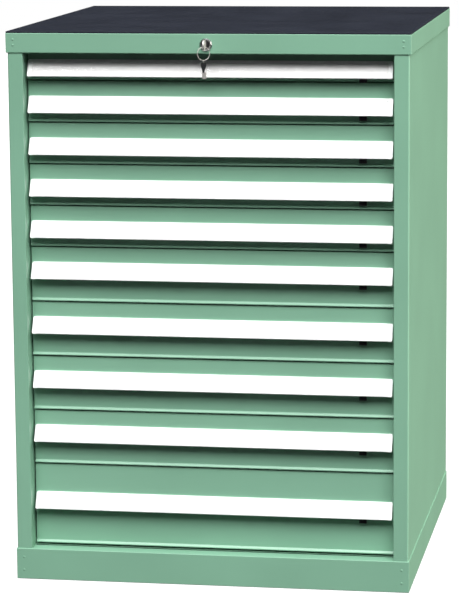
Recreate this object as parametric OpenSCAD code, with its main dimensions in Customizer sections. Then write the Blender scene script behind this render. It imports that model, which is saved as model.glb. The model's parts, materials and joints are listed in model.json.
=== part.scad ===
// Drawer cabinet for a workshop: a folded sheet steel housing on a closed plinth, ten full-extension
// drawers with full-width handles, and a central lock that blocks all drawers at their back.
// Front is -Y, the origin is the centre of the plinth's underside.

/* [Housing] */
// Width over the side panels
housing_w = 717; // [700:1:740]
// Depth from the pillars' front to the back panel
housing_d = 725; // [720:1:750]
// Thickness of the housing's steel sheet
sheet = 1.5; // [1:0.25:2]
// Width of the front pillars
pillar_w = 27; // [25:1:30]
// Depth of the front pillars
pillar_d = 70; // [60:1:80]
// Outer bend radius of the folded sheets
bend_r = 3; // [2:0.5:4]
// Height of the closed plinth
plinth_h = 57; // [50:1:80]
// How far the plinth stands proud of the housing
plinth_step = 1.5; // [0:0.5:3]
// How far the top cover overhangs each side
cover_step = 3; // [2:0.5:4]
// Height of the top cover's folded edge
cover_h = 35; // [35:1:45]
// Thickness of the ribbed top mat
mat_t = 3; // [2:0.5:5]

/* [Drawers] */
// Front heights from the top drawer to the bottom one
front_heights = [50, 75, 75, 75, 75, 100, 100, 100, 100, 150];
// Inside width and length of a drawer
tray_inside = 612; // [600:1:612]
// Thickness of the drawers' steel sheet
drawer_sheet = 1.2; // [1:0.1:1.5]
// How far the fronts lie behind the pillars
front_recess = 31; // [28:1:36]
// Gap between two fronts
front_gap = 3; // [2:0.5:4]
// Opening travel of a drawer
drawer_travel = 600; // [400:10:600]

/* [Handles] */
// Height of the handle strip
handle_h = 30; // [28:1:31]
// How far the handle's lower edge stands out from the front
handle_reach = 17; // [15:1:20]
// Distance from the right end of the handle to the catch
catch_inset = 53; // [40:1:80]
// How far the catch is pushed up to free the drawer
catch_travel = 5; // [3:0.5:5]

/* [Lock] */
// Diameter of the lock's round face
lock_d = 22; // [20:1:24]
// Rise of the locking bar over a quarter turn of the key
bar_rise = 8; // [8:0.5:9]

/* [Hidden] */
paint = "#8fb9a2";
inside_paint = "#86ad98";
zinc = "#b9bdc1";
chrome = "#c9ccd0";
black_plastic = "#1d1f20";
handle_white = "#eef0f0";
rubber = "#43464e";
e = 0.5;                         // how far a cut runs past a face

drawer_count = len(front_heights);
function sum_to(list, n) = n <= 0 ? 0 : list[n - 1] + sum_to(list, n - 1);
stack_h = sum_to(front_heights, drawer_count);
stack_base = plinth_h + front_gap;
stack_top = stack_base + stack_h;
function drawer_top(i) = stack_top - sum_to(front_heights, i);
function drawer_base(i) = drawer_top(i) - front_heights[i];

half_w = housing_w / 2;
half_d = housing_d / 2;
opening_half = half_w - pillar_w;
cover_base = stack_top + 2;
cover_top = cover_base + cover_h;
inner_top = cover_top - sheet;   // underside of the cover's plate
cover_half_w = half_w + cover_step;
cover_half_d = half_d + sheet;

// Drawer fronts
front_half = opening_half - 2.5;
front_y = -half_d + front_recess; // front face of the drawer fronts
front_fold = 14.3;               // depth of the folded front
lip_h = 5;                       // lower edge that flares forward
lip_reach = 3;

// Drawer trays
tray_half = tray_inside / 2 + drawer_sheet;
tray_front = front_y + front_fold;
tray_back = tray_front + 2 * tray_half;
tray_floor = 8;                  // inside floor over the drawer's base line
tray_rim = 10;                   // rim below the drawer's top line
slot_pitch = 51;
slot_w = 3;

// Slides: a fixed channel, a channel on the drawer, and a roller carriage between them
slide_t = 1.2;
slide_z = 10;                    // lower edge of both channels over the drawer's base line
slide_h = 22;
slide_mid = slide_z + slide_h / 2;
fixed_outer = opening_half;
drawer_rail_depth = 10.7;
carriage_bar_x = tray_half + drawer_rail_depth + 0.4;
carriage_bar_t = 2;
fixed_inner = carriage_bar_x + carriage_bar_t + 0.4;
roller_r = slide_h / 2 - slide_t - 0.2;
roller_pin_r = 2.5;
roller_gap = 0.3;
fixed_y = [tray_front + 5.3, half_d - 44];
drawer_rail_y = [tray_front + 2, tray_back - 1];
carriage_len = 440;
carriage_h = 18;

// Handles
slant = [handle_reach - 3, handle_h - 2];
slant_len = norm(slant);
slant_dir = slant / slant_len;
slant_out = [slant_dir[1], -slant_dir[0]];
wall = 1.8;
label_depth = 0.8;
label_from = 5;
label_to = 27.5;
handle_half = front_half - 2;
end_cap_w = 7;
function handle_drop(h) = h <= 50 ? 11.5 : (h <= 100 ? 27 : 52);
function on_slant(along, out) = [3, 0] + slant_dir * along + slant_out * out;

// Catch
catch_x = handle_half - catch_inset;
catch_w = 13;
stem_w = 8;
stem_h = 6;
stem_gap = 0.5;                  // clearance of the stem in its slot

// Lock
lock_z = cover_base + 16;
lock_face_y = -cover_half_d;
bezel_t = 3;
barrel_r = 9.5;
plug_r = 7;
plug_back = lock_face_y + 27;
keyway = [2.6, 7];
rod_r = 4;
bore_slack = 0.08;               // room between a pin and its bore
crank_pin_r = 2.5;
bar_y = half_d - 32.5;           // front face of the locking bar
bar_t = 3;
bearing_y = bar_y - 16;
crank_y = bar_y - 8;
bar_x = [6, 22];
tab_x = -14;
tab_z = 8.5;
tab_h = 8;
hook_x = [-12, 2];
hook_z = 30;
hook_y = bar_y + bar_t + 6;
key_hole_y = lock_face_y - 24;
key_t = 2;

// Floor anchor holes
anchor_pitch = 600;
anchor_r = 6.5;
access_r = 15;

drawer_names = [for (i = [1 : drawer_count]) str("drawer_", i < 10 ? "0" : "", i)];

// A box between two opposite corners
module block(low, high) {
    translate(low) cube(high - low);
}

// An outline drawn in Y and Z, carried along X
module along_x(from, to) {
    translate([from, 0, 0]) rotate([90, 0, 90]) linear_extrude(to - from) children();
}

// A cylinder along Y
module bar_along_y(radius, from, to) {
    translate([0, from, 0]) rotate([-90, 0, 0]) cylinder(r = radius, h = to - from, $fn = 48);
}

// A cylinder along X
module bar_along_x(radius, from, to) {
    translate([from, 0, 0]) rotate([0, 90, 0]) cylinder(r = radius, h = to - from, $fn = 32);
}

// A tray of sheet: a plate with four upright walls
module pan(half_x, half_y, height, thickness) {
    difference() {
        block([-half_x, -half_y, 0], [half_x, half_y, height]);
        block([-half_x + thickness, -half_y + thickness, thickness],
              [half_x - thickness, half_y - thickness, height + e]);
    }
}

// ---------- housing ----------

module plinth() {
    half_x = half_w + plinth_step;
    half_y = half_d + plinth_step;
    flange = 30;
    color(paint) difference() {
        union() {
            pan(half_x, half_y, plinth_h, sheet);
            difference() {
                block([-half_x, -half_y, plinth_h - sheet], [half_x, half_y, plinth_h]);
                block([-half_x + flange, -half_y + flange, plinth_h - sheet - e],
                      [half_x - flange, half_y - flange, plinth_h + e]);
            }
        }
        for (x = [-1, 1], y = [-1, 1])
            translate([x * anchor_pitch / 2, y * anchor_pitch / 2, -e])
                cylinder(r = anchor_r, h = sheet + 2 * e, $fn = 48);
    }
}

module floor_panel() {
    color(inside_paint) difference() {
        block([-opening_half, front_y, plinth_h], [opening_half, half_d - sheet, plinth_h + sheet]);
        for (x = [-1, 1], y = [-1, 1])
            translate([x * anchor_pitch / 2, y * anchor_pitch / 2, plinth_h - e])
                cylinder(r = access_r, h = sheet + 2 * e, $fn = 48);
    }
}

// One folded sheet: the skin, the front pillar with its rounded corner, and the rear fold
module side_outline() {
    rear_fold = 18;
    pillar_return = 10;
    edge_r = 1;                  // inner corner of the pillar
    hollow = 4;                  // room behind the rounded outer corner
    difference() {
        union() {
            translate([half_w - bend_r, -half_d + bend_r]) circle(r = bend_r, $fn = 32);
            translate([opening_half + edge_r, -half_d + edge_r]) circle(r = edge_r, $fn = 24);
            translate([opening_half + edge_r, -half_d]) square([pillar_w - edge_r - bend_r, sheet]);
            translate([opening_half, -half_d + edge_r]) square([sheet, pillar_d - edge_r]);
            translate([half_w - sheet, -half_d + bend_r]) square([sheet, housing_d - bend_r]);
            translate([half_w - rear_fold, half_d - sheet]) square([rear_fold, sheet]);
            translate([opening_half, -half_d + pillar_d - sheet]) square([pillar_return, sheet]);
        }
        translate([half_w - bend_r - hollow, -half_d + sheet])
            square([hollow + bend_r - sheet, hollow]);
    }
}

module side_panel(side) {
    color(paint) mirror([side < 0 ? 1 : 0, 0, 0])
        translate([0, 0, plinth_h]) linear_extrude(inner_top - plinth_h) side_outline();
}

module back_panel() {
    inset = 18.5;
    color(paint) block([-half_w + inset, half_d - sheet, plinth_h],
                       [half_w - inset, half_d, inner_top]);
}

// Perforated uprights that the slide rails hook onto
module slide_uprights(side) {
    depth = pillar_w - sheet;
    width = 28;
    front = -half_d + pillar_d + 5;
    rear = half_d - pillar_d - 20;
    hole_pitch = 25;
    color(zinc) mirror([side < 0 ? 1 : 0, 0, 0])
        for (y = [front, rear]) difference() {
            block([opening_half, y, plinth_h + 1], [half_w - sheet, y + width, stack_top]);
            block([opening_half + sheet, y + sheet, plinth_h],
                  [opening_half + depth + e, y + width - sheet, stack_top + e]);
            for (z = [stack_base + 40 : 2 * hole_pitch : stack_top - 10])
                translate([opening_half - e, y + width / 2, z])
                    rotate([0, 90, 0]) cylinder(r = 3, h = sheet + 2 * e, $fn = 24);
        }
}

// A channel lying along Y with its web at x = web and its flanges reaching to x = tip
module slide_channel(web, tip, y, base) {
    inward = tip > web ? 1 : -1;
    low = min(web, tip);
    high = max(web, tip);
    difference() {
        block([low, y[0], base + slide_z], [high, y[1], base + slide_z + slide_h]);
        block([inward > 0 ? low + slide_t : low - e, y[0] - e, base + slide_z + slide_t],
              [inward > 0 ? high + e : high - slide_t, y[1] + e, base + slide_z + slide_h - slide_t]);
    }
}

module slide_rails(side) {
    color(zinc) mirror([side < 0 ? 1 : 0, 0, 0])
        for (i = [0 : drawer_count - 1])
            slide_channel(fixed_outer, fixed_inner, fixed_y, drawer_base(i));
}

// Two channels that tie the side panels together under the cover
module top_crossbars() {
    depth = 20;
    low = cover_base + 2;
    clear = 0.3;
    color(zinc) difference() {
        for (y = [-half_d + sheet + clear, half_d - sheet - clear - depth])
            difference() {
                block([-opening_half + clear, y, low], [opening_half - clear, y + depth, inner_top]);
                block([-opening_half - e, y + sheet, low - e],
                      [opening_half + e, y + depth - sheet, inner_top - sheet]);
            }
        translate([0, 0, lock_z]) bar_along_y(barrel_r + 1, -half_d, -half_d + 2 * depth);
    }
}

module top_cover() {
    color(paint) difference() {
        translate([0, 0, cover_top]) mirror([0, 0, 1])
            pan(cover_half_w, cover_half_d, cover_h, sheet);
        translate([0, 0, lock_z]) bar_along_y(barrel_r + 0.1, -cover_half_d - e, -cover_half_d + 5);
    }
}

module top_mat() {
    corner = 2;
    x = cover_half_w - 0.6;
    y = cover_half_d - 0.6;
    color(rubber) translate([0, 0, cover_top]) linear_extrude(mat_t) union() {
        square([2 * x, 2 * (y - corner)], center = true);
        square([2 * (x - corner), 2 * y], center = true);
        for (sx = [-1, 1], sy = [-1, 1])
            translate([sx * (x - corner), sy * (y - corner)]) circle(r = corner, $fn = 24);
    }
}

// ---------- central lock ----------

// Guides on the back panel for the locking bar, and the bearing of the lock rod
module lock_brackets() {
    gap = 0.5;
    guide_h = 12;
    guide_wall = 4;
    bearing_half = 14;
    bearing_drop = 10;
    ledge = 20;
    color(zinc) {
        for (z = [stack_base + 60, stack_top - 16]) difference() {
            block([bar_x[0] - guide_wall, bar_y - guide_wall + 1, z],
                  [bar_x[1] + guide_wall, half_d - sheet, z + guide_h]);
            block([bar_x[0] - gap, bar_y - gap, z - e],
                  [bar_x[1] + gap, bar_y + bar_t + gap, z + guide_h + e]);
            block([bar_x[0] - 2, bar_y + bar_t + 2, z - e], [bar_x[1] + 2, half_d - 3, z + guide_h + e]);
        }
        difference() {
            union() {
                block([-bearing_half, bearing_y, lock_z - bearing_drop],
                      [bearing_half, bearing_y + bar_t, inner_top]);
                block([-bearing_half, bearing_y - ledge, inner_top - sheet],
                      [bearing_half, bearing_y, inner_top]);
            }
            translate([0, 0, lock_z])
                bar_along_y(rod_r + bore_slack, bearing_y - e, bearing_y + bar_t + e);
        }
    }
}

module lock_barrel() {
    barrel_back = lock_face_y + 25;
    color(chrome) translate([0, 0, lock_z]) rotate([-90, 0, 0])
        rotate_extrude($fn = 64) polygon([
            [plug_r + 0.1, lock_face_y - bezel_t + 0.8],
            [lock_d / 2 - 1.6, lock_face_y - bezel_t],
            [lock_d / 2, lock_face_y - 1.2],
            [lock_d / 2, lock_face_y],
            [barrel_r, lock_face_y],
            [barrel_r, barrel_back],
            [plug_r + 0.1, barrel_back]]);
}

module lock_plug() {
    front = lock_face_y - bezel_t + 0.9;
    color(black_plastic) translate([0, 0, lock_z]) difference() {
        bar_along_y(plug_r, front, plug_back);
        block([-keyway[0] / 2, front - e, -keyway[1] / 2],
              [keyway[0] / 2, plug_back - 3, keyway[1] / 2]);
    }
}

// Rod from the plug to the back of the housing, with the crank that lifts the locking bar
module lock_rod() {
    crank_t = 4;
    hub_r = 6;
    color(zinc) translate([0, 0, lock_z]) union() {
        bar_along_y(rod_r, plug_back, crank_y + crank_t);
        bar_along_y(hub_r, crank_y, crank_y + crank_t);
        block([-bar_rise, crank_y, -rod_r], [0, crank_y + crank_t, rod_r]);
        translate([-bar_rise, 0, 0]) bar_along_y(rod_r, crank_y, crank_y + crank_t);
        translate([-bar_rise, 0, 0]) bar_along_y(crank_pin_r, crank_y, bar_y + bar_t + 3);
    }
}

// The crank pin moves a little ahead of an even lift, so its slot is taller than the pin
module lock_bar() {
    head_z = [lock_z - 12, lock_z + 7];
    slack = 0.4;
    lead = 0.22 * bar_rise;
    color(zinc) difference() {
        union() {
            block([bar_x[0], bar_y, stack_base], [bar_x[1], bar_y + bar_t, head_z[1]]);
            block([-bar_rise - 8, bar_y, head_z[0]], [bar_x[0] + e, bar_y + bar_t, head_z[1]]);
            for (i = [0 : drawer_count - 1])
                block([tab_x, bar_y, drawer_base(i) + tab_z],
                      [bar_x[0] + e, bar_y + bar_t, drawer_base(i) + tab_z + tab_h]);
        }
        block([-bar_rise - crank_pin_r - slack, bar_y - e, lock_z - crank_pin_r - slack],
              [crank_pin_r + slack, bar_y + bar_t + e, lock_z + crank_pin_r + slack + lead]);
    }
}

// ---------- key ----------

// A flat key in the lock: the hole in its bow lies on the lock's axis
module key() {
    bow_r = 10;
    bow_t = key_t + 0.8;
    bow_back = 18;
    hole_r = 2.4;
    blade_len = 26;
    blade_h = 6.4;
    tip = 3;
    cut_pitch = 4;
    color(chrome) translate([0, key_hole_y, lock_z]) difference() {
        union() {
            translate([0, bow_r - 4, 0]) bar_along_x(bow_r, -bow_t / 2, bow_t / 2);
            block([-bow_t / 2, bow_r - 4, -bow_r / 2], [bow_t / 2, bow_back, bow_r / 2]);
            along_x(-key_t / 2, key_t / 2) polygon([
                [bow_back - e, -blade_h / 2],
                [bow_back + blade_len - tip, -blade_h / 2],
                [bow_back + blade_len, -1],
                [bow_back + blade_len, 1.5],
                [bow_back + blade_len - tip, blade_h / 2],
                [bow_back - e, blade_h / 2]]);
        }
        bar_along_x(hole_r, -bow_t, bow_t);
        for (i = [0 : 3])
            translate([0, bow_back + 7 + cut_pitch * i, blade_h / 2 + 0.6])
                rotate([45, 0, 0]) cube([bow_t + 2, 1.8, 1.8], center = true);
    }
}

// ---------- drawers ----------

// Folded front: a plate whose top and bottom turn back, with a lower edge that flares forward
module front_outline(height) {
    top = height - front_gap / 6;
    low = front_gap * 5 / 6;
    back = front_y + front_fold;
    t = drawer_sheet;
    polygon([
        [front_y, top],
        [front_y, low + lip_h],
        [front_y - lip_reach, low + 1.5],
        [front_y - lip_reach, low],
        [back, low],
        [back, low + t],
        [front_y - lip_reach + t, low + t],
        [front_y + t, low + lip_h],
        [front_y + t, top - t],
        [back, top - t],
        [back, top]]);
}

module drawer_front(height, base) {
    low = front_gap * 5 / 6;
    drop = handle_drop(height);
    translate([0, 0, base]) difference() {
        union() {
            along_x(-front_half, front_half) front_outline(height);
            for (side = [-1, 1])
                block([side > 0 ? front_half - drawer_sheet : -front_half, front_y + e, low + e],
                      [side > 0 ? front_half : -front_half + drawer_sheet,
                       front_y + front_fold, height - e * 2]);
        }
        block([catch_x - stem_w / 2 - stem_gap, front_y - lip_reach - e,
               height - drop - handle_h - stem_gap],
              [catch_x + stem_w / 2 + stem_gap, front_y + drawer_sheet + e,
               height - drop - handle_h + stem_h + catch_travel + stem_gap]);
    }
}

// Four walls and a floor, with slots for dividers in the front and back walls. The side walls run on
// to the folded front, which is welded to them.
module drawer_tray(height, base) {
    wall_top = height - tray_rim;
    slot_low = tray_floor + 6;
    slots = floor((tray_inside / 2 - 20) / slot_pitch);
    hem = 6;
    translate([0, 0, base]) difference() {
        union() {
            translate([0, (tray_front + tray_back) / 2, tray_floor - drawer_sheet])
                pan(tray_half, tray_half, wall_top - tray_floor + drawer_sheet, drawer_sheet);
            for (side = [-1, 1]) {
                block([side > 0 ? tray_half : -tray_half - drawer_sheet, tray_front + 4, wall_top - hem],
                      [side > 0 ? tray_half + drawer_sheet : -tray_half, tray_back - 4, wall_top]);
                block([side > 0 ? tray_half - drawer_sheet : -tray_half, front_y + e, tray_floor],
                      [side > 0 ? tray_half : -tray_half + drawer_sheet, tray_front + e, wall_top]);
            }
        }
        for (k = [-slots : slots])
            block([k * slot_pitch - slot_w / 2, tray_front - e, slot_low],
                  [k * slot_pitch + slot_w / 2, tray_front + drawer_sheet + e, wall_top - 6]);
        for (k = [-slots : slots])
            block([k * slot_pitch - slot_w / 2, tray_back - drawer_sheet - e, slot_low],
                  [k * slot_pitch + slot_w / 2, tray_back + e, wall_top - 6]);
    }
}

// Bracket at the back that the locking bar's tab catches
module rear_hook(base) {
    thick = 1.5;
    lip = 11;
    block([hook_x[0], tray_back - drawer_sheet, base + hook_z],
          [hook_x[1], hook_y + thick, base + hook_z + thick]);
    block([hook_x[0], hook_y, base + hook_z - lip], [hook_x[1], hook_y + thick, base + hook_z + thick]);
    block([hook_x[0], tray_back - drawer_sheet, base + hook_z - lip],
          [hook_x[1], tray_back + thick, base + hook_z + thick]);
}

module drawer(i) {
    height = front_heights[i];
    base = drawer_base(i);
    color(paint) union() {
        drawer_front(height, base);
        drawer_tray(height, base);
        slide_channel(tray_half - e, tray_half + drawer_rail_depth, drawer_rail_y, base);
        slide_channel(-tray_half + e, -tray_half - drawer_rail_depth, drawer_rail_y, base);
        rear_hook(base);
    }
}

// Slanted grip strip seen from its end: Y is outward from the front, the second value runs down
module handle_outline() {
    foot = 4.5;
    polygon([
        [0, 0],
        [3, 0],
        on_slant(label_from, 0),
        on_slant(label_from, -label_depth),
        on_slant(label_to, -label_depth),
        on_slant(label_to, 0),
        on_slant(slant_len, 0),
        [handle_reach, handle_h - 1],
        [handle_reach - 1, handle_h],
        [handle_reach - wall - 1, handle_h],
        [wall - 0.2, foot],
        [0, foot]]);
}

module end_cap_outline() {
    polygon([
        [0, 0],
        [3, -0.3],
        on_slant(slant_len, 0.4),
        [handle_reach + 0.4, handle_h - 0.4],
        [handle_reach - 1, handle_h + 0.3],
        [handle_reach - 5, handle_h + 0.3],
        [0, 8]]);
}

// The cap's face seen from the front, with rounded outer corners
module end_cap_face() {
    corner = 3;
    height = handle_h + 0.6;
    union() {
        square([end_cap_w - corner, height]);
        translate([0, corner]) square([end_cap_w, height - 2 * corner]);
        for (z = [corner, height - corner])
            translate([end_cap_w - corner, z]) circle(r = corner, $fn = 24);
    }
}

module handle(i) {
    top = drawer_top(i) - handle_drop(front_heights[i]);
    inner = handle_half - end_cap_w;
    clear = 0.2;
    seat = 0.01;                 // the strip sits this far in front of the sheet
    color(handle_white) translate([0, front_y - seat, top]) {
        translate([-inner + clear, 0, 0]) rotate([0, 0, 90]) rotate([90, 0, 0]) mirror([1, 0, 0])
            mirror([0, 1, 0]) linear_extrude(2 * (inner - clear)) handle_outline();
        for (side = [-1, 1]) mirror([side < 0 ? 1 : 0, 0, 0]) intersection() {
            translate([inner, 0, 0]) rotate([0, 0, 90]) rotate([90, 0, 0]) mirror([1, 0, 0])
                mirror([0, 1, 0]) linear_extrude(end_cap_w) end_cap_outline();
            translate([inner, 1, -handle_h - 0.3]) rotate([90, 0, 0])
                linear_extrude(handle_reach + 5) end_cap_face();
        }
    }
}

// Push-up tab under the handle, its stem through the front, and the hidden slider behind
module catch(i) {
    low = drawer_top(i) - handle_drop(front_heights[i]) - handle_h;
    tab_front = lip_reach + 5;
    tab_back = lip_reach + 0.4;
    tab_below = min(9, low - drawer_base(i) - 1);
    tab_top = 9;
    tab_bevel = 1.5;
    slider_half = 18;
    color(black_plastic) translate([catch_x, front_y, low]) union() {
        along_x(-catch_w / 2, catch_w / 2) polygon([
            [-tab_front, -tab_below],
            [-tab_front, stem_h],
            [-tab_back - tab_bevel, tab_top],
            [-tab_back, tab_top],
            [-tab_back, -tab_below]]);
        block([-stem_w / 2, -tab_back - 1, 0], [stem_w / 2, drawer_sheet + 1, stem_h]);
        block([-slider_half, drawer_sheet + 0.4, -1], [slider_half, drawer_sheet + 2, tab_top]);
    }
}

// Roller carriages of one drawer, left and right, that run out at half the drawer's speed
module carriage(i) {
    mid = drawer_base(i) + slide_mid;
    outer_rollers = [10, 200];
    inner_rollers = [-200, -20];
    inner_face = tray_half + slide_t + 0.5;
    outer_face = fixed_outer - slide_t - 0.5;
    bar = [carriage_bar_x, carriage_bar_x + carriage_bar_t];
    color(zinc) for (side = [-1, 1]) mirror([side < 0 ? 1 : 0, 0, 0])
        translate([0, (fixed_y[0] + fixed_y[1]) / 2 - 7, mid]) {
            union() {
                block([bar[0], -carriage_len / 2, -carriage_h / 2],
                      [bar[1], carriage_len / 2, carriage_h / 2]);
                for (y = outer_rollers)
                    translate([0, y, 0]) bar_along_x(roller_pin_r, bar[0], outer_face);
                for (y = inner_rollers)
                    translate([0, y, 0]) bar_along_x(roller_pin_r, inner_face, bar[1]);
            }
            for (y = outer_rollers) translate([0, y, 0]) difference() {
                bar_along_x(roller_r, bar[1] + roller_gap, outer_face - roller_gap);
                bar_along_x(roller_pin_r + bore_slack, bar[1], outer_face);
            }
            for (y = inner_rollers) translate([0, y, 0]) difference() {
                bar_along_x(roller_r, inner_face + roller_gap, bar[0] - roller_gap);
                bar_along_x(roller_pin_r + bore_slack, inner_face, bar[0]);
            }
        }
}

plinth();
floor_panel();
side_panel(-1);  // side_panel_left
side_panel(1);  // side_panel_right
back_panel();
slide_uprights(-1);  // slide_uprights_left
slide_uprights(1);  // slide_uprights_right
slide_rails(-1);  // slide_rails_left
slide_rails(1);  // slide_rails_right
top_crossbars();
top_cover();
top_mat();
lock_brackets();
lock_barrel();
lock_plug();
lock_rod();
lock_bar();
key();
for (i = [0 : drawer_count - 1]) {
    drawer(i);
    handle(i);
    catch(i);
    carriage(i);
}
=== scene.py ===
"""Looks for the workshop drawer cabinet: materials, trim that rides on its bodies, light, camera."""
import json
import math

import bmesh
import bpy
from mathutils import Matrix, Vector


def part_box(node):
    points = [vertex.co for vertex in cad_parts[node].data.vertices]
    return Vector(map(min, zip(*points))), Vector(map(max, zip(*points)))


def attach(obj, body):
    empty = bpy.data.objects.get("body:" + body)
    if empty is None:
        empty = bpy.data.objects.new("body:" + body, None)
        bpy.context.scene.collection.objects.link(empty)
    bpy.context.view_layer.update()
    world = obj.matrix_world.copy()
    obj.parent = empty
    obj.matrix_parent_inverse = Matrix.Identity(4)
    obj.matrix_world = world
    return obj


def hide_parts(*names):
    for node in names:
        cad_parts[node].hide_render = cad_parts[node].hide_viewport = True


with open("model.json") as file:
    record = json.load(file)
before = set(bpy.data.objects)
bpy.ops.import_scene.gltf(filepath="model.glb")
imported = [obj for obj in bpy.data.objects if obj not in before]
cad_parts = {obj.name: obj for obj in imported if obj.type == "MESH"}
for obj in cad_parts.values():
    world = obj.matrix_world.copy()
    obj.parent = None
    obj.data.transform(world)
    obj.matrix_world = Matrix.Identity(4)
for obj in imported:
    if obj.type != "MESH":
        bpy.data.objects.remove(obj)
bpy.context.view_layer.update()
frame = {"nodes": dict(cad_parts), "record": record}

MM = 0.001

DRAWERS = sorted(n for n in frame["nodes"] if n.startswith("drawer_") and len(n) == len("drawer_01"))
HOUSING = "housing"

# Keys: the ring hangs in the hole of the inserted key's bow, and the spare key hangs from the ring
KEY_HOLE_FROM_TIP = 4 * MM       # behind the frontmost point of the bow
RING_R = 11.8 * MM
RING_WIRE_R = 0.5 * MM
RING_DROP = 2.05 * MM            # from the hole's middle to the wire that lies on its lower edge
RING_TURN = 34                   # degrees from facing the front
EYELET_R = 2.2 * MM
EYELET_WIRE_R = 0.5 * MM
EYELET_TURN = 20                 # degrees from standing edge-on to the front
# Outlines of the spare key's grip and blade, seen from the front: mm from the ring's foot
SPARE_GRIP = [(-5.6, -5.5), (-4.2, -3.4), (4.6, -3.4), (5.8, -5.5), (4.2, -12), (1.4, -19),
              (1.4, -21.5), (-2.0, -21.5), (-2.0, -19), (-4.0, -12)]
SPARE_BLADE = [(-3.2, -20.5), (5.2, -20.5), (5.2, -23), (4.2, -24), (5.2, -25.2), (4.4, -26.6),
               (5.2, -28), (4.0, -29.4), (5.0, -30.4), (3.4, -32.4), (0, -32.9), (-3.2, -31)]
SPARE_GRIP_HALF_T = 1.7 * MM
SPARE_BLADE_HALF_T = 1.0 * MM

# Light: strengths of the broad lights in W/m2, and the power of the small soft box in W
WORLD_STRENGTH = 0.06
KEY_STRENGTH = 4.75
SIDE_STRENGTH = 3.75
SIDE_COLOR = (1, 0.94, 0.86)
BACK_STRENGTH = 3.3
SOFT_BOX_POWER = 18
AIM = (0, 0, 0.5)                # what the soft box faces: the cabinet's middle

# Camera: degrees round from the front and up, roll, metres from its target, and focal length in mm
CAMERA_AZIMUTH = 9.736
CAMERA_ELEVATION = 9.552
CAMERA_ROLL = -0.456
CAMERA_TARGET = (-0.024, 0, 0.463)
CAMERA_DISTANCE = 5.326
CAMERA_LENS = 167.2

# Handle strip: the same outline as its CAD solid, in metres
HANDLE_H = 30 * MM
HANDLE_REACH = 17 * MM
HANDLE_TOP_LEDGE = 3 * MM        # depth of the strip at its top edge
HANDLE_LOWER_LIP = 2 * MM        # straight part under the slant
END_CAP_W = 7 * MM
LABEL_FROM = 5 * MM              # where the label channel starts and ends, down the slant
LABEL_TO = 27.5 * MM
LABEL_DEPTH = 0.8 * MM
CAP_RISE = 0.3 * MM              # how far the end caps stand over the strip's top edge
CARD_T = 0.25 * MM
COVER_T = 0.3 * MM


# ---------------------------------------------------------------- mesh helpers

def new_object(name, bm, material, smooth=False):
    """Turns a bmesh into an object with one material."""
    mesh = bpy.data.meshes.new(name)
    bmesh.ops.recalc_face_normals(bm, faces=bm.faces)
    bm.to_mesh(mesh)
    bm.free()
    for face in mesh.polygons:
        face.use_smooth = smooth
    mesh.materials.append(material)
    obj = bpy.data.objects.new(name, mesh)
    bpy.context.scene.collection.objects.link(obj)
    return obj


def add_prism(bm, outline, start, end, place):
    """Adds a closed prism: outline points carried from start to end, put in space by place(p, t)."""
    near = [bm.verts.new(place(p, start)) for p in outline]
    far = [bm.verts.new(place(p, end)) for p in outline]
    count = len(outline)
    bm.faces.new(near)
    bm.faces.new(far)
    for i in range(count):
        j = (i + 1) % count
        bm.faces.new((near[i], near[j], far[j], far[i]))


def add_lathe(bm, profile, centre, axis, steps):
    """Adds a turned shape: (radius, height) points spun round an axis through centre."""
    turn = Vector((0, 0, 1)).rotation_difference(Vector(axis)).to_matrix()
    rings = []
    for radius, height in profile:
        if radius == 0:
            rings.append([bm.verts.new(Vector(centre) + turn @ Vector((0, 0, height)))])
            continue
        rings.append([bm.verts.new(Vector(centre) + turn @ Vector((
            radius * math.cos(2 * math.pi * k / steps),
            radius * math.sin(2 * math.pi * k / steps), height))) for k in range(steps)])
    for low, high in zip(rings, rings[1:]):
        for k in range(steps):
            m = (k + 1) % steps
            corners = [low[k % len(low)], low[m % len(low)], high[m % len(high)], high[k % len(high)]]
            unique = list(dict.fromkeys(corners))
            if len(unique) > 2:
                bm.faces.new(unique)
    for ring in (rings[0], rings[-1]):
        if len(ring) > 1:
            bm.faces.new(ring)


def add_torus(bm, centre, axis, radius, wire, steps):
    """Adds a ring of round wire whose plane is square to axis."""
    around = 10
    turn = Vector((0, 0, 1)).rotation_difference(Vector(axis)).to_matrix()
    rows = []
    for k in range(steps):
        a = 2 * math.pi * k / steps
        row = []
        for m in range(around):
            b = 2 * math.pi * m / around
            reach = radius + wire * math.cos(b)
            local = Vector((reach * math.cos(a), reach * math.sin(a), wire * math.sin(b)))
            row.append(bm.verts.new(Vector(centre) + turn @ local))
        rows.append(row)
    for k in range(steps):
        this_row = rows[k]
        next_row = rows[(k + 1) % steps]
        for m in range(around):
            n = (m + 1) % around
            bm.faces.new((this_row[m], next_row[m], next_row[n], this_row[n]))


def bevel(obj, width, segments):
    """Rounds an object's sharp edges without touching its mesh."""
    sharp = 35                       # degrees between two faces from which their edge is rounded
    weld = obj.modifiers.new("weld", "WELD")
    weld.merge_threshold = 1e-6
    round_off = obj.modifiers.new("bevel", "BEVEL")
    round_off.width = width
    round_off.segments = segments
    round_off.limit_method = "ANGLE"
    round_off.angle_limit = math.radians(sharp)
    round_off.harden_normals = False


# ---------------------------------------------------------------- materials

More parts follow.
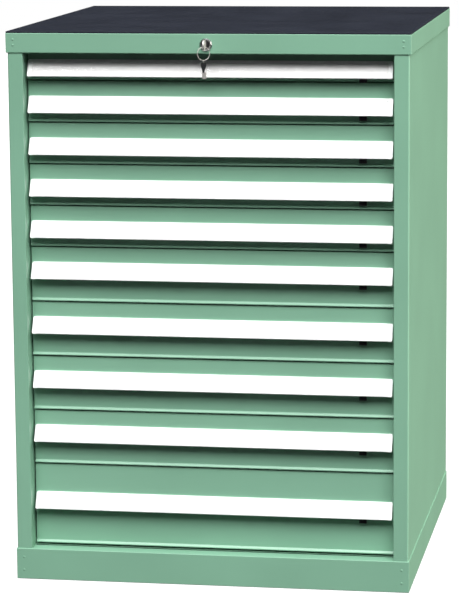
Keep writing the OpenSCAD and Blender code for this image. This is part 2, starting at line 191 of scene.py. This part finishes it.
class Surface:
    """A principled material with a few procedural layers driven by object coordinates."""

    def __init__(self, name, color, roughness, metallic=0.0):
        self.material = bpy.data.materials.new(name)
        self.material.use_nodes = True
        self.nodes = self.material.node_tree.nodes
        self.links = self.material.node_tree.links
        self.shader = self.nodes["Principled BSDF"]
        self.shader.inputs["Base Color"].default_value = (*color, 1)
        self.shader.inputs["Roughness"].default_value = roughness
        self.shader.inputs["Metallic"].default_value = metallic
        self.where = self.nodes.new("ShaderNodeTexCoord").outputs["Object"]
        self.color = color

    def set(self, socket, value):
        """Sets a value on the shader's own socket."""
        self.shader.inputs[socket].default_value = value
        return self

    def stretched(self, scale):
        """Object coordinates stretched by a factor for each axis."""
        mapping = self.nodes.new("ShaderNodeMapping")
        mapping.inputs["Scale"].default_value = scale
        self.links.new(self.where, mapping.inputs["Vector"])
        return mapping.outputs["Vector"]

    def noise(self, scale, detail=2.0, stretch=None):
        """Noise of so many cells to the metre, longer or finer along an axis if stretched."""
        node = self.nodes.new("ShaderNodeTexNoise")
        node.inputs["Scale"].default_value = scale
        node.inputs["Detail"].default_value = detail
        self.links.new(self.stretched(stretch) if stretch else self.where, node.inputs["Vector"])
        return node.outputs["Fac"]

    def spread(self, factor, low, high, start=0.35, stop=0.65):
        """Maps a texture from start..stop onto low..high."""
        node = self.nodes.new("ShaderNodeMapRange")
        node.inputs["From Min"].default_value = start
        node.inputs["From Max"].default_value = stop
        node.inputs["To Min"].default_value = low
        node.inputs["To Max"].default_value = high
        self.links.new(factor, node.inputs["Value"])
        return node.outputs["Result"]

    def tint(self, factor, darker, lighter):
        """Varies the base colour between two brightness factors."""
        mix = self.nodes.new("ShaderNodeMix")
        mix.data_type = "RGBA"
        mix.inputs["A"].default_value = (*[c * darker for c in self.color], 1)
        mix.inputs["B"].default_value = (*[min(1, c * lighter) for c in self.color], 1)
        self.links.new(factor, mix.inputs["Factor"])
        self.links.new(mix.outputs["Result"], self.shader.inputs["Base Color"])
        return self

    def rough(self, factor, low, high):
        """Varies the roughness between two values."""
        self.links.new(self.spread(factor, low, high), self.shader.inputs["Roughness"])
        return self

    def bump(self, *layers):
        """Stacks bump layers of (height, depth in metres, strength)."""
        normal = None
        for height, depth, strength in layers:
            node = self.nodes.new("ShaderNodeBump")
            node.inputs["Distance"].default_value = depth
            node.inputs["Strength"].default_value = strength
            self.links.new(height, node.inputs["Height"])
            if normal is not None:
                self.links.new(normal, node.inputs["Normal"])
            normal = node.outputs["Normal"]
        self.links.new(normal, self.shader.inputs["Normal"])
        return self


def powder_coat(name, color, roughness=0.42):
    """Baked paint: orange peel of about 1.5 mm, slight unevenness over whole panels."""
    s = Surface(name, color, roughness)
    cloud = s.noise(5, detail=3)
    peel = s.noise(650, detail=2)
    grain = s.noise(2600, detail=1)
    s.tint(s.spread(cloud, 0, 1), 0.965, 1.03)
    s.rough(peel, roughness - 0.05, roughness + 0.06)
    s.bump((s.noise(9, detail=1), 1.2 * MM, 0.06), (peel, 0.12 * MM, 0.5), (grain, 0.03 * MM, 0.4))
    return s.set("Coat Weight", 0.15).set("Coat Roughness", 0.2).material


def zinc_plate(name):
    """Zinc-plated steel with rolling marks along the part and a faint spangle."""
    s = Surface(name, (0.52, 0.54, 0.56), 0.38, metallic=1)
    rolled = s.noise(60, detail=4, stretch=(40, 1, 40))
    spangle = s.noise(220, detail=3)
    s.tint(s.spread(spangle, 0, 1), 0.86, 1.08)
    s.rough(rolled, 0.3, 0.48)
    s.bump((rolled, 0.05 * MM, 0.35))
    return s.material


def rubber_mat(name):
    """Matt rubber: a fine skin and a little dust in the ribs."""
    s = Surface(name, (0.0095, 0.0125, 0.0215), 0.62)
    skin = s.noise(1800, detail=2)
    dust = s.noise(9, detail=4)
    s.tint(s.spread(dust, 0, 1), 0.88, 1.12)
    s.rough(dust, 0.55, 0.7)
    s.bump((skin, 0.06 * MM, 0.5))
    return s.set("Specular IOR Level", 0.25).material


def white_strip(name):
    """White extruded plastic with fine draw lines along its length."""
    s = Surface(name, (0.92, 0.925, 0.925), 0.3)
    lines = s.noise(30, detail=3, stretch=(1, 60, 60))
    s.tint(s.spread(s.noise(14), 0, 1), 0.975, 1.01)
    s.rough(lines, 0.24, 0.36)
    s.bump((lines, 0.03 * MM, 0.25))
    return s.material


def label_card(name):
    """White card with a faint fibre."""
    s = Surface(name, (0.92, 0.92, 0.91), 0.75)
    fibre = s.noise(900, detail=4)
    s.tint(s.spread(fibre, 0, 1), 0.985, 1.0)
    s.bump((fibre, 0.03 * MM, 0.3))
    return s.material


def clear_cover(name):
    """Thin clear film that is seen by its gloss."""
    s = Surface(name, (1, 1, 1), 0.08)
    s.bump((s.noise(25, detail=1), 0.1 * MM, 0.15))
    return s.set("Alpha", 0.12).set("IOR", 1.49).material


def black_moulding(name):
    """Black plastic with a spark-eroded grain."""
    s = Surface(name, (0.011, 0.012, 0.013), 0.5)
    grain = s.noise(1500, detail=2)
    s.tint(s.spread(grain, 0, 1), 0.8, 1.3)
    s.rough(grain, 0.42, 0.6)
    s.bump((grain, 0.05 * MM, 0.5))
    return s.material


def chrome_with_painted_shade(name):
    """Chrome with painted shade darkening its colour, so its highlights and reflections stay dull;
    rougher in patches where it has worn a little.
    """
    s = Surface(name, (0.36, 0.37, 0.38), 0.36, metallic=1)
    s.rough(s.noise(300, detail=3), 0.3, 0.42)
    s.bump((s.noise(700), 0.01 * MM, 0.2))
    return s.material


def dark_core(name):
    """Dark turned metal of the lock plug's face."""
    s = Surface(name, (0.035, 0.035, 0.038), 0.35, metallic=0.6)
    turned = s.noise(900, detail=2)
    s.tint(s.spread(turned, 0, 1), 0.7, 1.4)
    s.rough(turned, 0.28, 0.45)
    s.bump((turned, 0.02 * MM, 0.3))
    return s.material


def nickel_with_painted_reflection(name):
    """Scuffed nickel of keys and wire, part diffuse: its light grey is a painted reflection of the
    white surround.
    """
    # metallic 0.6 leaves a diffuse share of the base colour: painted reflection for the bright
    # surround that glossy rays don't see
    s = Surface(name, (0.60, 0.58, 0.55), 0.5, metallic=0.6)
    scuffs = s.noise(500, detail=4, stretch=(1, 1, 6))
    s.tint(s.spread(scuffs, 0, 1), 0.8, 1.1)
    s.rough(scuffs, 0.42, 0.6)
    s.bump((scuffs, 0.02 * MM, 0.3))
    return s.material


def studio_floor(name):
    """Plain pale floor that stays pale in the cabinet's shadow."""
    s = Surface(name, (0.3, 0.3, 0.3), 0.6)
    s.tint(s.spread(s.noise(2), 0, 1), 0.995, 1.005)
    return s.set("Emission Color", (1, 1, 1, 1)).set("Emission Strength", 0.75).material


def white_surround(name):
    """Even white that takes no light."""
    s = Surface(name, (0, 0, 0), 1)
    s.set("Specular IOR Level", 0)
    return s.set("Emission Color", (1, 1, 1, 1)).set("Emission Strength", 1).material


RESEDA = (0.222, 0.440, 0.308)
FINISHES = {
    "housing_paint": powder_coat("housing_paint", RESEDA),
    "drawer_paint": powder_coat("drawer_paint", RESEDA),
    "inside_paint": powder_coat("inside_paint", [c * 0.95 for c in RESEDA], 0.5),
    "zinc_steel": zinc_plate("zinc_steel"),
    "mat_rubber": rubber_mat("mat_rubber"),
    "handle_strip": white_strip("handle_strip"),
    "catch_plastic": black_moulding("catch_plastic"),
    "lock_chrome": chrome_with_painted_shade("lock_chrome"),
    "lock_face": dark_core("lock_face"),
    "key_steel": nickel_with_painted_reflection("key_steel"),
}
LABEL_CARD = label_card("label_card")
CLEAR_COVER = clear_cover("clear_cover")


def finish_cad_nodes():
    """Gives every CAD node its slot's finish, and rounds the edges of the large folded sheets."""
    slots = {s["node"]: s["material_slot"] for s in frame["record"]["subparts"]}
    folded = {"plinth": 1.0 * MM, "top_cover": 1.2 * MM,
              "floor_panel": 0.3 * MM, "back_panel": 0.4 * MM}
    for node, obj in frame["nodes"].items():
        finish = FINISHES[slots[node]]
        if not obj.material_slots:
            obj.data.materials.append(finish)
        for slot in obj.material_slots:
            slot.material = finish
        if node in folded:
            bevel(obj, folded[node], segments=3)


# ---------------------------------------------------------------- trim pieces

def slant_frame():
    """Direction down the handle's slanted face, and its outward normal: both as (out, down)."""
    down = Vector((HANDLE_REACH - HANDLE_TOP_LEDGE, HANDLE_H - HANDLE_LOWER_LIP)).normalized()
    return down, Vector((down.y, -down.x))


def on_slant(along, out):
    """Point on the slanted face, along it from its top and out from it."""
    down, normal = slant_frame()
    return Vector((HANDLE_TOP_LEDGE, 0)) + down * along + normal * out


def handle_trim(drawer):
    """White label card and its clear cover, lying in the handle's channel."""
    low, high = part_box(drawer + "_handle")
    top = high.z - CAP_RISE
    back = high.y
    end_gap = 1 * MM
    edge_gap = 0.08 * MM
    half = high.x - END_CAP_W - end_gap
    near = LABEL_FROM + edge_gap
    far = LABEL_TO - edge_gap
    card_level = 0.02 * MM - LABEL_DEPTH
    cover_level = -0.35 * MM

    def place(p, x):
        return Vector((x, back - p.x, top - p.y))

    for name, thin, level, material in (
            ("card", CARD_T, card_level, LABEL_CARD),
            ("cover", COVER_T, cover_level, CLEAR_COVER)):
        bm = bmesh.new()
        outline = [on_slant(near, level), on_slant(far, level),
                   on_slant(far, level + thin), on_slant(near, level + thin)]
        add_prism(bm, outline, -half, half, place)
        piece = new_object(f"{drawer}_label_{name}", bm, material)
        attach(piece, drawer + "_body")


def catch_grip(drawer):
    """Ribbed finger pad on the front of a catch."""
    low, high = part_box(drawer + "_catch")
    middle = (low.x + high.x) / 2
    pad_half = 5.6 * MM
    rib_count = 3
    rib_pitch = 1.5 * MM
    first_rib = low.z + 1.3 * MM
    root = low.y + 0.05 * MM         # just inside the catch's front
    outline = ((0, 0), (0.45, 0.25), (0.45, 0.65), (0, 0.9))        # mm out and up
    rib = [Vector((out * MM, up * MM)) for out, up in outline]
    bm = bmesh.new()
    for k in range(rib_count):
        z = first_rib + k * rib_pitch
        add_prism(bm, rib, middle - pad_half, middle + pad_half,
                  lambda p, x: Vector((x, root - p.x, z + p.y)))
    piece = new_object(drawer + "_catch_grip", bm, FINISHES["catch_plastic"])
    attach(piece, drawer + "_catch_body")


def hanging_key():
    """Wire ring in the inserted key's hole, with a spare key that hangs from it by an eyelet."""
    low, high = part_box("key")
    hole = Vector(((low.x + high.x) / 2, low.y + KEY_HOLE_FROM_TIP, (low.z + high.z) / 2))
    ring_turn = Matrix.Rotation(math.radians(RING_TURN), 3, "Z")
    ring_middle = hole - Vector((0, 0, RING_R + RING_DROP))
    bm = bmesh.new()
    add_torus(bm, ring_middle, ring_turn @ Vector((0, 1, 0)), RING_R, RING_WIRE_R, steps=48)
    ring = new_object("key_ring", bm, FINISHES["key_steel"], smooth=True)

    ring_foot = ring_middle - Vector((0, 0, RING_R))
    eyelet_turn = Matrix.Rotation(math.radians(EYELET_TURN), 3, "Z")
    eyelet_middle = ring_foot - Vector((0, 0, EYELET_R - RING_WIRE_R))
    bm = bmesh.new()
    add_torus(bm, eyelet_middle, eyelet_turn @ Vector((1, 0, 0)), EYELET_R, EYELET_WIRE_R, steps=28)
    eyelet = new_object("spare_key_eyelet", bm, FINISHES["key_steel"], smooth=True)

    def plate(name, outline, half, material, round_off):
        """Flat plate facing the front, with its outline measured from the ring's foot."""
        bm = bmesh.new()
        add_prism(bm, [Vector(p) * MM for p in outline], -half, half,
                  lambda p, back: ring_foot + Vector((p.x, back, p.y)))
        piece = new_object(name, bm, material)
        bevel(piece, round_off, segments=2)
        return piece

    grip = plate("spare_key_grip", SPARE_GRIP, SPARE_GRIP_HALF_T,
                 FINISHES["catch_plastic"], round_off=0.5 * MM)
    blade = plate("spare_key_blade", SPARE_BLADE, SPARE_BLADE_HALF_T,
                  FINISHES["key_steel"], round_off=0.15 * MM)
    for piece in (ring, eyelet, grip, blade):
        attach(piece, HOUSING)


def weld_marks():
    """Pairs of small spot-weld pips on the front of the cover and the plinth, near their ends."""
    cover_low, cover_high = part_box("top_cover")
    plinth_low, plinth_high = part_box("plinth")
    inset = 13.5 * MM
    over_cover_edge = (13.5 * MM, 23.5 * MM)
    over_floor = (17 * MM, 41 * MM)
    profile = ((2.4, 0), (2.2, 0.12), (1.5, 0.2), (0.9, 0.5), (0, 0.55))        # mm: radius, height
    pip = [(radius * MM, height * MM) for radius, height in profile]
    places = []
    for side in (-1, 1):
        for z in over_cover_edge:
            places.append((side * (cover_high.x - inset), cover_low.y, cover_low.z + z))
        for z in over_floor:
            places.append((side * (plinth_high.x - inset), plinth_low.y, z))
    bm = bmesh.new()
    for place in places:
        add_lathe(bm, pip, place, (0, -1, 0), steps=20)
    piece = new_object("spot_weld_marks", bm, FINISHES["housing_paint"], smooth=True)
    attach(piece, HOUSING)


def ribbed_mat():
    """Rubber mat with fine ribs from front to back and a plain border."""
    low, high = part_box("top_mat")
    border = 7 * MM
    pitch = 3 * MM
    rib_h = 0.5 * MM
    rib = ((0.3 * MM, -rib_h), (0.8 * MM, 0), (2.2 * MM, 0), (2.7 * MM, -rib_h))
    count = int((high.x - low.x - 2 * border) / pitch)
    left = -count * pitch / 2
    end = left - 0.5 * MM
    base = low.z
    underside = base + 1 * MM
    top = high.z
    bm = bmesh.new()
    outline = [Vector((end, underside))]
    for k in range(count):
        x = left + k * pitch
        outline += [Vector((x + across, top + up)) for across, up in rib]
    outline.append(Vector((-end, underside)))
    add_prism(bm, outline, low.y + border, high.y - border, lambda p, y: Vector((p.x, y, p.y)))
    ribs = new_object("top_mat_ribs", bm, FINISHES["mat_rubber"])
    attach(ribs, HOUSING)

    corners = [(low.x, low.y), (high.x, low.y), (high.x, high.y), (low.x, high.y)]
    chamfer = 0.8 * MM
    slope = 1 * MM                   # from the border down to the floor that the ribs stand on
    floor_z = top - rib_h - 0.1 * MM
    levels = [(0, base), (0, top - chamfer), (chamfer, top), (border - slope, top), (border, floor_z)]
    bm = bmesh.new()
    loops = []
    for inset, z in levels:
        loops.append([bm.verts.new((x - math.copysign(inset, x), y - math.copysign(inset, y), z))
                      for x, y in corners])
    for lower, upper in zip(loops, loops[1:]):
        for k in range(4):
            m = (k + 1) % 4
            bm.faces.new((lower[k], lower[m], upper[m], upper[k]))
    bm.faces.new(loops[0])
    bm.faces.new(loops[-1])
    sheet = new_object("top_mat_sheet", bm, FINISHES["mat_rubber"])
    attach(sheet, HOUSING)
    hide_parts("top_mat")


# ---------------------------------------------------------------- studio

def camera():
    """Long lens from slightly right of and above the cabinet."""
    azimuth = math.radians(CAMERA_AZIMUTH)
    elevation = math.radians(CAMERA_ELEVATION)
    roll = math.radians(CAMERA_ROLL)
    back = Vector((math.sin(azimuth) * math.cos(elevation),
                   -math.cos(azimuth) * math.cos(elevation), math.sin(elevation)))
    data = bpy.data.cameras.new("camera")
    data.sensor_width = 36
    data.lens = CAMERA_LENS
    data.clip_end = 50
    cam = bpy.data.objects.new("camera", data)
    cam.location = Vector(CAMERA_TARGET) + back * CAMERA_DISTANCE
    turn = (-back).to_track_quat("-Z", "Y").to_matrix() @ Matrix.Rotation(roll, 3, "Z")
    cam.rotation_euler = turn.to_euler()
    bpy.context.scene.collection.objects.link(cam)
    bpy.context.scene.camera = cam


def point_at(lamp, place, target):
    """Puts a lamp at a place and turns it towards a target."""
    lamp.location = place
    lamp.rotation_euler = (Vector(target) - Vector(place)).to_track_quat("-Z", "Y").to_euler()
    bpy.context.scene.collection.objects.link(lamp)
    return lamp


def wide_light(name, azimuth, elevation, spread, strength, color=(1, 1, 1)):
    """Even light from a direction; azimuth 0 is the front, 90 the right side."""
    data = bpy.data.lights.new(name, "SUN")
    data.angle = math.radians(spread)
    data.energy = strength
    data.color = color
    a = math.radians(azimuth)
    e = math.radians(elevation)
    stand_off = 8                    # metres; a sun lights the same from any distance
    place = stand_off * Vector((math.sin(a) * math.cos(e), -math.cos(a) * math.cos(e), math.sin(e)))
    return point_at(bpy.data.objects.new(name, data), place, (0, 0, 0))


def soft_box(name, place, size, power):
    """Rectangular area light that faces the cabinet."""
    data = bpy.data.lights.new(name, "AREA")
    data.shape = "RECTANGLE"
    data.size, data.size_y = size
    data.energy = power
    point_at(bpy.data.objects.new(name, data), place, AIM)


def backdrop():
    """Pale floor and white surround that are seen directly but don't light the cabinet."""
    reach = 14
    bm = bmesh.new()
    bmesh.ops.create_circle(bm, cap_ends=True, segments=64, radius=reach)
    floor = new_object("floor", bm, studio_floor("floor"))
    floor.location.z = -0.5 * MM
    bm = bmesh.new()
    bmesh.ops.create_icosphere(bm, subdivisions=4, radius=reach)
    surround = new_object("surround", bm, white_surround("surround"), smooth=True)
    for piece in (floor, surround):
        piece.visible_diffuse = False
        piece.visible_glossy = False
    surround.visible_shadow = False  # the broad lights stand for light from outside it


def studio():
    """High key light in front, low ones at the right and behind on the left, and a soft box."""
    backdrop()
    world = bpy.data.worlds.new("studio")
    world.use_nodes = True
    background = world.node_tree.nodes["Background"]
    background.inputs["Color"].default_value = (1, 1, 1, 1)
    background.inputs["Strength"].default_value = WORLD_STRENGTH
    bpy.context.scene.world = world
    bpy.context.scene.view_settings.view_transform = "Standard"
    wide_light("key", azimuth=4, elevation=57, spread=44, strength=KEY_STRENGTH)
    wide_light("side", azimuth=97, elevation=14, spread=30, strength=SIDE_STRENGTH, color=SIDE_COLOR)
    back = wide_light("back", azimuth=222, elevation=14, spread=50, strength=BACK_STRENGTH)
    back.visible_glossy = False
    soft_box("strip", place=(1.3, -1.5, 2.5), size=(0.5, 0.9), power=SOFT_BOX_POWER)


finish_cad_nodes()
ribbed_mat()
weld_marks()
hanging_key()
for name in DRAWERS:
    handle_trim(name)
    catch_grip(name)
studio()
camera()
